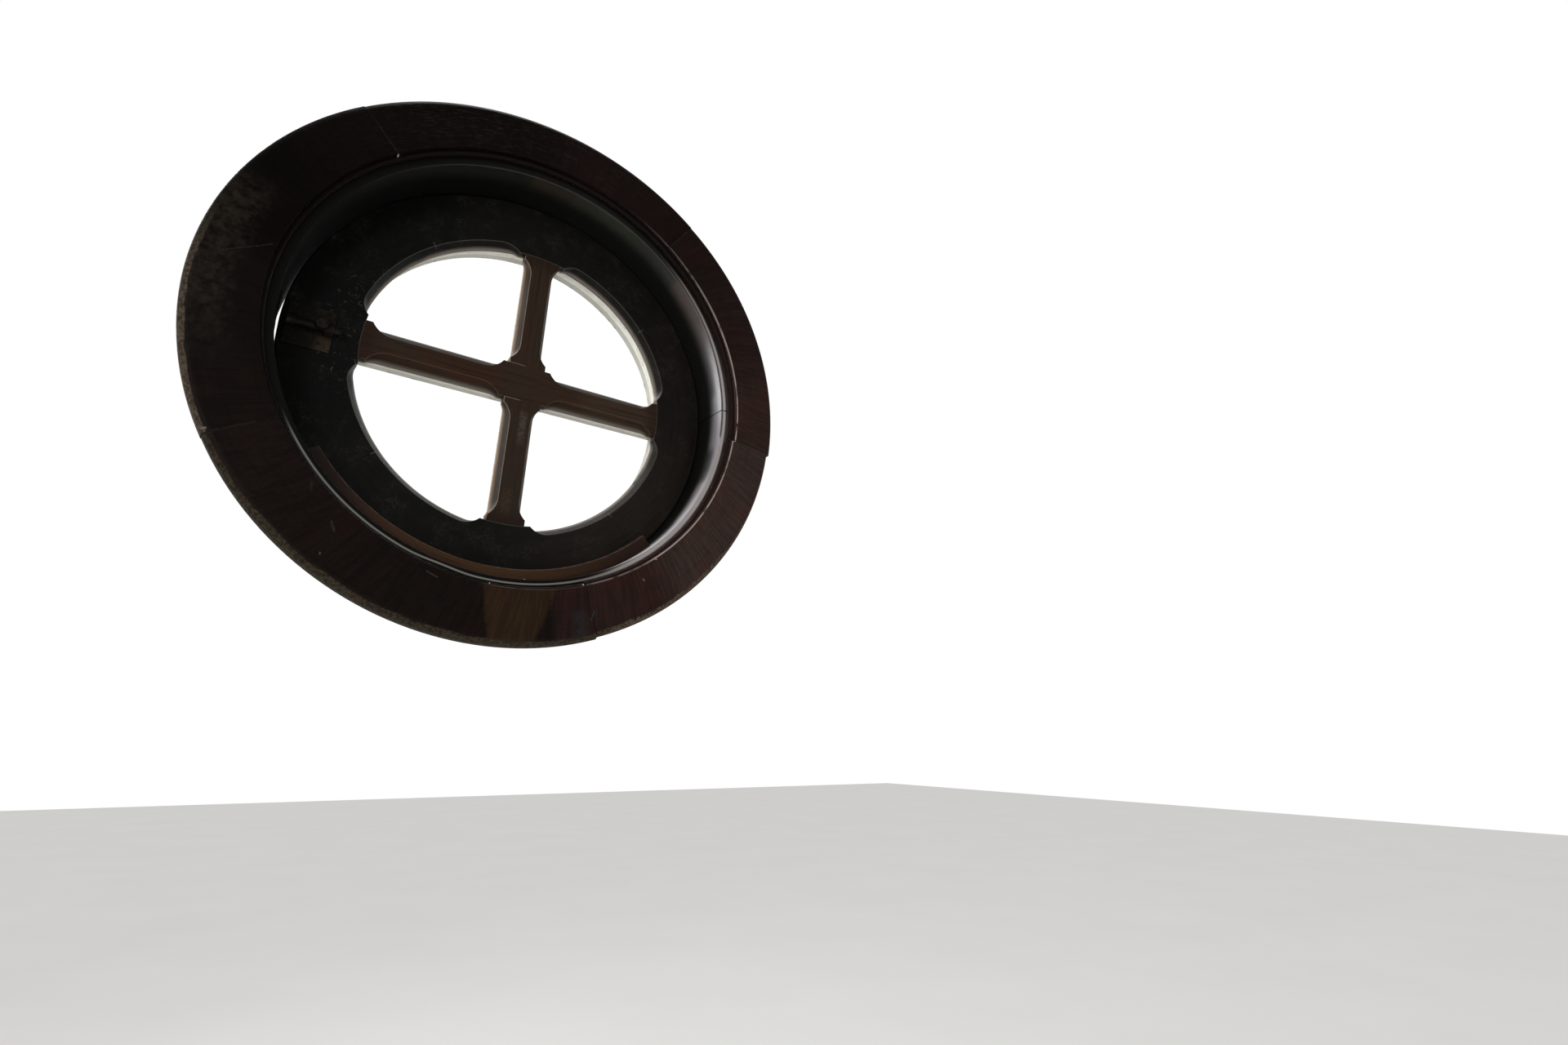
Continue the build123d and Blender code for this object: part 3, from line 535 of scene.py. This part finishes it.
def liner_material():
    """Dark varnished hoop with painted sheen and shade, its gloss kept at the right and mostly
    worn away elsewhere.
    """
    material, tree, shader = new_material("varnished liner", 0.55, Specular_IOR_Level=0.15,
                                          Coat_Roughness=0.38, Coat_IOR=2.6)
    angle, radius, run, flat = use_group(tree, ROUND, {"Cut": -78.0}).outputs
    streak, _, cloud, height = use_group(tree, GRAIN, {"Run": run, "Width": 1.6}).outputs
    arris = use_group(tree, ARRIS, {"Width": 0.0007, "Flat": flat})
    depth = split_up(tree, flat)[1]

    # tone going round from the foot, with a painted sheen near the room at the right that
    # reaches less deep along a stretch below the casing's joint there, and painted shade
    # at the top and left
    colour = zones(tree, angle, (
        (-78.0, 0.0, tone(20, 16, 12)), (-62.0, 12.0, tone(62, 52, 48)),
        (-47.0, 5.0, tone(84, 79, 78)), (-37.0, 4.0, tone(166, 158, 158)),
        (-21.0, 3.0, tone(88, 84, 86)), (-9.0, 4.0, tone(180, 177, 186)),
        (9.0, 4.0, tone(104, 100, 102)), (24.0, 6.0, tone(88, 72, 66)),
        (47.0, 3.0, tone(50, 50, 42)), (85.0, 2.0, tone(48, 41, 33)),
        (97.5, 1.0, tone(27, 27, 22)), (150.0, 20.0, tone(15, 17, 14))))
    narrower = maths(tree, "MULTIPLY", band(tree, angle, -23, -11, 8.0), 6.0)
    painted_sheen = both(tree, fade(tree, angle, -66, -48), fade(tree, angle, 34, 8),
               fade(tree, maths(tree, "ADD", depth, narrower), 15, 4))
    colour = tint(tree, painted_sheen, colour, tone(208, 201, 205), 0.85)
    # painted shade deepening toward the sash, darkest at the top and left
    shade_toward_sash = tint(tree, fade(tree, angle, 70, 120), tone(22, 22, 20), tone(10, 10, 9))
    colour = tint(tree, fade(tree, depth, 6, 24), colour, shade_toward_sash)
    colour = tint(tree, fade(tree, streak, 0.45, 0.75), colour,
                  times(tree, colour, 0.5, 0.5, 0.5), 0.5)
    glossy = both(tree, fade(tree, angle, -70, -52),
                  between(tree, fade(tree, angle, 60, 20), 0.16, 1.0),
                  fade(tree, angle, 150, 95),
                  between(tree, fade(tree, depth, 28, 8), 0.12, 1.0))

    # the end by the room: a painted highlight as a thin line that wanders, painted shade
    # in the groove beside it, and painted shade on the end at the top and left
    end = fade(tree, depth, 0.9, 0.3)
    line_radius = maths(tree, "ADD", radius, band(tree, angle, 251, 259, 4.0))
    low_down = maths(tree, "MAXIMUM", fade(tree, angle, 206, 216), fade(tree, angle, -56, -66))
    low_highlight = both(tree, end,
                    band(tree, line_radius, LINER_RADIUS + 2.8, LINER_RADIUS + 4.3, 0.35),
                    low_down)
    right_highlight = both(tree, end,
                      band(tree, line_radius, LINER_RADIUS + 2.0, LINER_RADIUS + 4.6, 0.4),
                      fade(tree, angle, -73, -52), fade(tree, angle, 66, 4))
    outward = fade(tree, radius, LINER_RADIUS + 4.5, LINER_RADIUS + 4.9)
    inward = both(tree, fade(tree, radius, LINER_RADIUS + 1.9, LINER_RADIUS + 1.5),
                  fade(tree, angle, -7, -5))
    groove_shade = both(tree, end, maths(tree, "MAXIMUM", outward, inward),
                  fade(tree, angle, -66, -56), fade(tree, angle, 66, 50))
    colour = tint(tree, groove_shade, colour, tone(17, 13, 12), 0.9)
    colour = tint(tree, low_highlight, colour, tone(146, 143, 134), 0.9)
    colour = tint(tree, right_highlight, colour, tone(212, 197, 192), 0.95)
    shaded_end = both(tree, end, fade(tree, angle, 40, 60), rest_of(tree, low_highlight))
    colour = tint(tree, shaded_end, colour, tone(12, 11, 9), 0.8)

    # the closed kerf, and the raw outer face inside the wall
    kerf = mark(tree, flat, (LINER_RADIUS, KERF_ANGLE), (LINER_RADIUS + KERF_DEPTH, KERF_ANGLE),
                0.8)
    colour = tint(tree, kerf, colour, tone(10, 8, 8))
    in_wall = both(tree, fade(tree, radius, LINER_OUTER - 4.0, LINER_OUTER - 2.0),
                   fade(tree, depth, 0.0, 0.5))
    colour = raw_wood(tree, colour, streak, in_wall)
    glossy = both(tree, glossy, rest_of(tree, in_wall), rest_of(tree, kerf))
    tree.links.new(glossy, shader.inputs["Coat Weight"])
    finish_surface(tree, shader, colour, height, 0.00008, arris.outputs["Normal"],
                   between(tree, cloud, 0.46, 0.60))
    return material


dress(liner_material(), "liner")


# Stop strip
# A bent strip pinned into the lower part of the liner, which the sash shuts against.
# Its orange stain is newer than the rest.

def stop_material():
    """Orange-brown strip, paler along its middle and dark at its left end."""
    material, tree, shader = new_material("stop strip", 0.35, Specular_IOR_Level=0.25)
    angle, _, run, flat = use_group(tree, ROUND, {"Cut": 90.0}).outputs
    streak, pores, cloud, height = use_group(tree, GRAIN, {"Run": run, "Width": 1.0}).outputs
    arris = use_group(tree, ARRIS, {"Width": 0.0007, "Flat": flat})
    middle = both(tree, fade(tree, angle, 222, 255), fade(tree, angle, 310, 275))
    colour = tint(tree, middle, tone(50, 31, 24), tone(80, 53, 29))
    colour = tint(tree, fade(tree, angle, 234, 216), colour, tone(20, 16, 12), 0.6)
    colour = tint(tree, fade(tree, streak, 0.42, 0.72), colour, tone(34, 21, 15), 0.5)
    colour = tint(tree, pores, colour, tone(24, 15, 11), 0.4)
    colour = tint(tree, arris.outputs["Wear"], colour, tone(130, 104, 80), 0.7)
    finish_surface(tree, shader, colour, height, GRAIN_DEEP, arris.outputs["Normal"],
                   between(tree, cloud, 0.28, 0.48))
    return material


dress(stop_material(), "stop_strip")


# Sash ring
# Four boards joined into the moving frame. The stain is nearly black and greyed by
# dust, and a little redder on the board at the right; outside it wears chalky paint.
# Painted light lightens it low at the right and painted shade darkens it at the left;
# the openings' front edges carry painted highlights, and painted light lies near the glass.

SASH_CENTRE_X = 4.4          # the panes' common centre, right of the window's axis
SASH_FACE = 43.0
SASH_BACK = 78.0
LIP_END = 52.0               # depth where the lip ends and the panes' rebate begins
GLAZING_RADIUS = 138.2       # the rebate's wall
RIM_RADIUS = 181.2
SASH_JOINTS = (41.0, 131.0, 221.0, 311.0)


def glow_near_glass(tree, colour, depth, mask, shade):
    """Painted light from the glass, with some dust settled there, on a chamfer in the last
    millimetres before the glass.
    """
    near_glass = both(tree, fade(tree, depth, LIP_END - 4.5, LIP_END + 0.2), mask)
    return tint(tree, near_glass, colour, shade)


def weathered(tree, colour, depth, mask, flat, streak):
    """Chalky paint outside the glass, cracked along the grain and flaked to grey wood."""
    outside_glass = both(tree, fade(tree, depth, LIP_END + 2.6, LIP_END + 3.4), mask)
    chalk = tint(tree, noise(tree, flat, 0.03, 4.0, 0.6), tone(206, 202, 192),
                 tone(178, 174, 164))
    chalk = tint(tree, fade(tree, streak, 0.66, 0.70), chalk, tone(140, 134, 124), 0.6)
    flaked = both(tree, fade(tree, noise(tree, flat, 0.08, 6.0, 0.72), 0.56, 0.60),
                  fade(tree, depth, SASH_BACK - 2.5, SASH_BACK - 1.0))
    grey_wood = tint(tree, fade(tree, streak, 0.35, 0.65), tone(132, 125, 115),
                     tone(100, 94, 86))
    return tint(tree, outside_glass, colour, tint(tree, flaked, chalk, grey_wood))


def sash_material():
    """Near-black ring with dust, faint scuffs, painted highlights and painted light and shade."""
    material, tree, shader = new_material("sash ring", 0.45, Specular_IOR_Level=0.15)
    angle, radius, run, flat = use_group(
        tree, ROUND, {"Centre X": SASH_CENTRE_X, "Cut": -139.0}).outputs
    streak, _, cloud, height = use_group(tree, GRAIN, {"Run": run, "Width": 0.9}).outputs
    arris = use_group(tree, ARRIS, {"Width": WORN_WIDTH, "Flat": flat})
    depth = split_up(tree, flat)[1]

    # each board's stain, with painted light low at the right and painted shade at the
    # left, darkest at the left rim
    right = both(tree, fade(tree, angle, -49.2, -48.8), fade(tree, angle, 41.2, 40.8))
    colour = tint(tree, right, tone(21, 20, 18), tone(27, 23, 20))
    painted_light_low_right = both(tree, fade(tree, angle, 10, -40), fade(tree, angle, -100, -50))
    colour = tint(tree, painted_light_low_right, colour, tone(42, 35, 31))
    left = both(tree, fade(tree, angle, 100, 150), fade(tree, angle, 221, 200))
    colour = tint(tree, left, colour, tone(12, 13, 12))
    colour = tint(tree, both(tree, left, fade(tree, radius, 158, 172)), colour, tone(5, 6, 4))
    colour = tint(tree, fade(tree, streak, 0.45, 0.75), colour, tone(9, 9, 8), 0.5)

    # dust, scuffs by the bolt, and the four joints
    dust = both(tree, fade(tree, noise(tree, flat, 0.06, 4.0, 0.65), 0.45, 0.72),
                fade(tree, noise(tree, flat, 0.8, 2.0, 0.6), 0.40, 0.65))
    colour = tint(tree, dust, colour, tone(62, 60, 56), 0.4)
    scuffs = both(tree, fade(tree, angle, 140, 165), fade(tree, angle, 205, 190),
                  fade(tree, radius, 165, 150),
                  fade(tree, noise(tree, flat, 0.30, 3.0, 0.6, 0.8), 0.60, 0.70))
    colour = tint(tree, scuffs, colour, tone(88, 86, 82), 0.5)
    for turn in SASH_JOINTS:
        line = mark(tree, flat, (GLAZING_RADIUS - 7.2, turn), (RIM_RADIUS - 0.2, turn), 0.45)
        colour = tint(tree, line, colour, tone(8, 8, 8), 0.6)

    # painted highlights on the openings' front edges, painted light with some dust on
    # their lips at the glass, and the paint outside
    by_panes = fade(tree, radius, GLAZING_RADIUS + 4.3, GLAZING_RADIUS + 3.3)
    front_edge_highlight = both(tree, arris.outputs["Line"], by_panes,
                      fade(tree, depth, SASH_FACE + 3.0, SASH_FACE + 1.0))
    colour = tint(tree, front_edge_highlight, colour, tone(104, 98, 92))
    glow_at_lip = both(tree, fade(tree, radius, GLAZING_RADIUS + 1.3, GLAZING_RADIUS + 0.3),
               fade(tree, noise(tree, flat, 0.05, 2.0), 0.2, 0.5))
    colour = glow_near_glass(tree, colour, depth, glow_at_lip, tone(142, 130, 120))
    inside_rim = fade(tree, radius, RIM_RADIUS - 0.3, RIM_RADIUS - 0.9)
    colour = weathered(tree, colour, depth, inside_rim, flat, streak)
    finish_surface(tree, shader, colour, height, GRAIN_DEEP, arris.outputs["Normal"],
                   between(tree, cloud, 0.34, 0.56))
    return material


dress(sash_material(), "sash_top", "sash_left", "sash_bottom", "sash_right")


# Muntins
# Two bars halved at the crossing, the level one whole at the front, with a stopped
# chamfer along every pane. Redder than the ring; the foot of the upright has greyed.
# Painted highlights run along the chamfers' edges, and painted light lies near the glass.

def muntin_material(name, upright, lit_edge, glass_glow_tone):
    """Reddish stained bar with its grain along its length, painted highlights and painted light by
    the glass.
    """
    material, tree, shader = new_material(name, 0.4, Specular_IOR_Level=0.06)
    flat = use_group(tree, ROUND, {"Centre X": SASH_CENTRE_X}).outputs["Flat"]
    x, y, z = split_up(tree, flat)
    length, across = (z, x) if upright else (x, z)
    from_crossing = maths(tree, "ABSOLUTE", length)
    run = node(tree, "CombineXYZ", {0: length, 1: across, 2: y}).outputs[0]
    streak, pores, cloud, height = use_group(tree, GRAIN, {"Run": run, "Width": 0.8}).outputs
    arris = use_group(tree, ARRIS, {"Width": WORN_WIDTH, "Flat": flat})
    colour = tint(tree, fade(tree, cloud, 0.40, 0.65), tone(57, 45, 36), tone(62, 43, 33))
    if not upright:
        colour = tint(tree, fade(tree, x, 40, 62), colour, tone(66, 53, 42))
    colour = tint(tree, fade(tree, streak, 0.45, 0.72), colour, tone(32, 22, 18), 0.55)
    colour = tint(tree, pores, colour, tone(20, 13, 11), 0.5)

    # the upright's grey foot, and two places rubbed by hands, each faded out at its top,
    # foot, left and right
    if upright:
        greyed = both(tree, fade(tree, z, -14, -40), fade(tree, streak, 0.30, 0.60))
        colour = tint(tree, greyed, colour, tone(50, 46, 41), 0.6)
        patchy = fade(tree, noise(tree, run, 0.5, 3.0, 0.6), 0.35, 0.6)
        for top, foot, left, right, shade in (
                ((-24, -30), (-62, -48), (-2, 1), (7, 4), tone(96, 92, 84)),
                ((-96, -104), (-128, -118), (-8, -4), (4, 0), tone(84, 66, 46))):
            rubbed = both(tree, fade(tree, z, *top), fade(tree, z, *foot),
                          fade(tree, x, *left), fade(tree, x, *right), patchy)
            colour = tint(tree, rubbed, colour, shade, 0.45)

    # darker ends, painted highlights on the chamfers' edges, brightest at the upright's
    # left side and along the level bar's lower one, and painted light with some dust by the glass
    colour = tint(tree, fade(tree, from_crossing, 112, 128), colour, tone(42, 26, 21), 0.5)
    chamfered = both(tree, fade(tree, from_crossing, 13, 18), fade(tree, from_crossing, 129, 126),
                     fade(tree, y, SASH_FACE + 3.0, SASH_FACE + 1.0))
    edge = tint(tree, fade(tree, across, 0, -4), tone(70, 50, 38), lit_edge)
    colour = tint(tree, both(tree, arris.outputs["Line"], chamfered), colour, edge)
    colour = glow_near_glass(tree, colour, y, fade(tree, from_crossing, 14, 22), glass_glow_tone)
    colour = weathered(tree, colour, y, 1.0, flat, streak)
    finish_surface(tree, shader, colour, height, GRAIN_DEEP, arris.outputs["Normal"],
                   between(tree, cloud, 0.42, 0.62))
    return material


dress(muntin_material("level muntin", False, tone(112, 86, 66), tone(128, 122, 112)),
      "muntin_level")
dress(muntin_material("upright muntin", True, tone(190, 166, 142), tone(150, 122, 94)),
      "muntin_upright")


# Panes and putty
# Four quarter panes of clear glass set from outside, each bedded and faced with
# putty that has dried, cracked a little and taken dust.

PANES = ("upper_left", "upper_right", "lower_left", "lower_right")


def glass_material():
    """Clear glass, faintly dusty."""
    material, tree, shader = new_material("pane glass", 0.02, Transmission_Weight=1.0, IOR=1.5)
    film = fade(tree, noise(tree, place_on(tree), 14.0, 4.0, 0.6), 0.35, 0.75)
    tree.links.new(maths(tree, "MULTIPLY", film, 0.05), shader.inputs["Roughness"])
    shader.inputs["Base Color"].default_value = tone(250, 252, 251)
    clear = node(tree, "BsdfTransparent", {"Color": (0.92, 0.94, 0.93, 1.0)}).outputs[0]
    shadow = node(tree, "LightPath").outputs["Is Shadow Ray"]
    let_through = node(tree, "MixShader", {0: shadow, 1: shader.outputs[0], 2: clear})
    tree.links.new(let_through.outputs[0], tree.nodes["Material Output"].inputs["Surface"])
    return material


def putty_material():
    """Dry putty."""
    material, tree, shader = new_material("dry putty", 0.8)
    place = place_on(tree)
    patch = noise(tree, place, 90.0, 4.0, 0.6)
    crack = fade(tree, noise(tree, place, 320.0, 2.0, 0.5, 1.5), 0.62, 0.68)
    colour = tint(tree, fade(tree, patch, 0.35, 0.65), tone(236, 233, 226), tone(222, 217, 206))
    colour = tint(tree, crack, colour, tone(170, 162, 148), 0.6)
    finish_surface(tree, shader, colour, maths(tree, "SUBTRACT", patch, crack), 0.0003)
    return material


dress(glass_material(), *["pane_" + name for name in PANES])
dress(putty_material(), *["putty_" + name for name in PANES])


# Bolt and keeper
# A small brass bolt screwed to the sash at the left, and its keeper plate on the liner.
# Painted over once and since rubbed back to the metal where fingers touch it.

def brass_material():
    """Old brass with the remains of dark paint."""
    material, tree, shader = new_material("painted brass", 0.4, Metallic=1.0,
                                          Specular_IOR_Level=0.15)
    place = place_on(tree)
    x, _, z = split_up(tree, place)
    worn = noise(tree, place, 260.0, 4.0, 0.65)
    finely = 4 * MM
    arris = use_group(tree, ARRIS, {"Width": 0.0005, "Flat": times(
        tree, place, finely, finely, finely)})
    paint = maths(tree, "SUBTRACT", fade(tree, worn, 0.72, 0.52),
                  maths(tree, "MULTIPLY", arris.outputs["Wear"], 0.9))
    paint = node(tree, "Clamp", {0: paint}).outputs[0]
    metal = tint(tree, fade(tree, worn, 0.45, 0.7), tone(66, 55, 41), tone(50, 42, 31))
    colour = tint(tree, paint, metal, tone(14, 13, 10))

    # the plate's lower corner toward the panes lighter, dust on that half of the plate
    corner = both(tree, fade(tree, x, -0.158, -0.150), fade(tree, z, -0.006, -0.012))
    colour = tint(tree, corner, colour, tone(68, 54, 41), 0.8)
    dusty = both(tree, fade(tree, x, -0.162, -0.157), fade(tree, worn, 0.40, 0.60))
    colour = tint(tree, dusty, colour, tone(44, 38, 30), 0.5)
    tree.links.new(rest_of(tree, paint), shader.inputs["Metallic"])
    finish_surface(tree, shader, colour, paint, 0.0001, arris.outputs["Normal"],
                   between(tree, paint, 0.34, 0.50))
    return material


dress(brass_material(), "bolt_plate", "bolt_rod", "bolt_knob", "keeper_plate",
      "bolt_plate_screws")


# Hinges and screws
# Two steel butt hinges outside at the right, and slotted countersunk screws, all
# dull and lightly rusted by the weather.

def steel_material():
    """Weathered steel."""
    material, tree, shader = new_material("weathered steel", 0.45, Metallic=1.0)
    rust = fade(tree, noise(tree, place_on(tree), 240.0, 5.0, 0.65), 0.48, 0.68)
    colour = tint(tree, rust, tone(150, 148, 145), tone(104, 70, 48))
    tree.links.new(between(tree, rust, 1.0, 0.2), shader.inputs["Metallic"])
    finish_surface(tree, shader, colour, rust, 0.0001, rough=between(tree, rust, 0.34, 0.74))
    return material


dress(steel_material(), "hinge_frame_leaf_upper", "hinge_frame_leaf_lower",
      "hinge_sash_leaf_upper", "hinge_sash_leaf_lower", "hinge_pin_upper",
      "hinge_pin_lower", "hinge_frame_screws", "hinge_sash_screws", "keeper_screws")


# Floor, light and camera
# A pale floor well below the window. The light is soft: a lamp in the room, daylight
# beyond the panes from the left and from above, and an even light overhead. The camera
# stands where the photograph was taken from, low and to the left.

FLOOR_Z = -0.9


def floor_material():
    """Plain pale floor."""
    material, tree, shader = new_material("pale floor", 0.9)
    patches = noise(tree, place_on(tree), 3.0, 2.0)
    colour = tint(tree, patches, tone(232, 231, 228), tone(238, 237, 235))
    tree.links.new(colour, shader.inputs["Base Color"])
    return material


bpy.ops.mesh.primitive_plane_add(size=16.0, location=(0.0, 0.0, FLOOR_Z))
floor = bpy.context.object
floor.name = "floor"
floor.data.materials.append(floor_material())

# how bright the surroundings are: on plain surfaces, in gloss, through the panes and
# behind the window
ROOM_LIGHT = 0.45
DAYLIGHT = 0.4
ROOM_SHEEN = 0.12
DAY_SHEEN = 0.4
THROUGH_GLASS = 1.12
PLAIN_WHITE = 1.0

world = bpy.data.worlds.new("daylight")
bpy.context.scene.world = world
world.use_nodes = True
sky = world.node_tree
background = sky.nodes["Background"]
toward = split_up(sky, node(sky, "TexCoord").outputs["Generated"])[1]
outside = fade(sky, toward, -0.15, 0.35)
rays = node(sky, "LightPath").outputs
level = between(sky, outside, ROOM_LIGHT, DAYLIGHT)
for ray, strength in (("Is Glossy Ray", between(sky, outside, ROOM_SHEEN, DAY_SHEEN)),
                      ("Is Transmission Ray", THROUGH_GLASS), ("Is Camera Ray", PLAIN_WHITE)):
    level = node(sky, "Mix", {0: rays[ray], 2: level, 3: strength}, data_type="FLOAT").outputs[0]
background.inputs["Color"].default_value = (1.0, 1.0, 1.0, 1.0)
sky.links.new(level, background.inputs["Strength"])


def soft_lamp(name, place, aim, size, power):
    """Square area lamp turned toward a point."""
    bpy.ops.object.light_add(type="AREA", location=place)
    lamp = bpy.context.object
    lamp.name = name
    lamp.data.size = size
    lamp.data.energy = power
    toward_aim = Vector(aim) - Vector(place)
    lamp.rotation_euler = toward_aim.to_track_quat("-Z", "Y").to_euler()


soft_lamp("room lamp", place=(-2.1, -3.0, 0.5), aim=(0.0, 0.0, 0.0), size=1.8, power=20.0)
soft_lamp("daylight from the left", place=(-0.62, 0.72, 0.30), aim=(0.1, 0.0, -0.03),
          size=0.40, power=4.6)
soft_lamp("daylight from above", place=(-0.44, 0.84, 0.76), aim=(0.0, 0.0, -0.10),
          size=0.40, power=5.6)

bpy.ops.object.light_add(type="SUN", location=(0.0, 0.0, 2.0))
overhead = bpy.context.object
overhead.name = "overhead light"
overhead.data.energy = 1.05
overhead.data.angle = 0.5

# place in metres, turns in degrees, and the lens in the picture's own pixels
VIEWPOINT = (-0.167147, -0.592675, -0.296895)
VIEW_YAW = 37.018
VIEW_PITCH = 18.643
VIEW_ROLL = 0.795
FOCAL_PIXELS = 923.305
PICTURE_WIDTH = 1920
PICTURE_HEIGHT = 1280
OPTICAL_CENTRE = (978.138, 592.543)

bpy.ops.object.camera_add(location=VIEWPOINT)
camera = bpy.context.object
camera.name = "photograph"
turn = Euler((math.radians(90.0 + VIEW_PITCH), 0.0, math.radians(-VIEW_YAW))).to_matrix()
turn = turn @ Matrix.Rotation(math.radians(VIEW_ROLL), 3, "Z")
camera.rotation_euler = turn.to_euler()
camera.data.sensor_width = 36.0
camera.data.lens = FOCAL_PIXELS * camera.data.sensor_width / PICTURE_WIDTH
camera.data.shift_x = (PICTURE_WIDTH / 2 - OPTICAL_CENTRE[0]) / PICTURE_WIDTH
camera.data.shift_y = (OPTICAL_CENTRE[1] - PICTURE_HEIGHT / 2) / PICTURE_WIDTH
camera.data.clip_start = 0.01
bpy.context.scene.camera = camera
bpy.context.scene.view_settings.view_transform = "Standard"
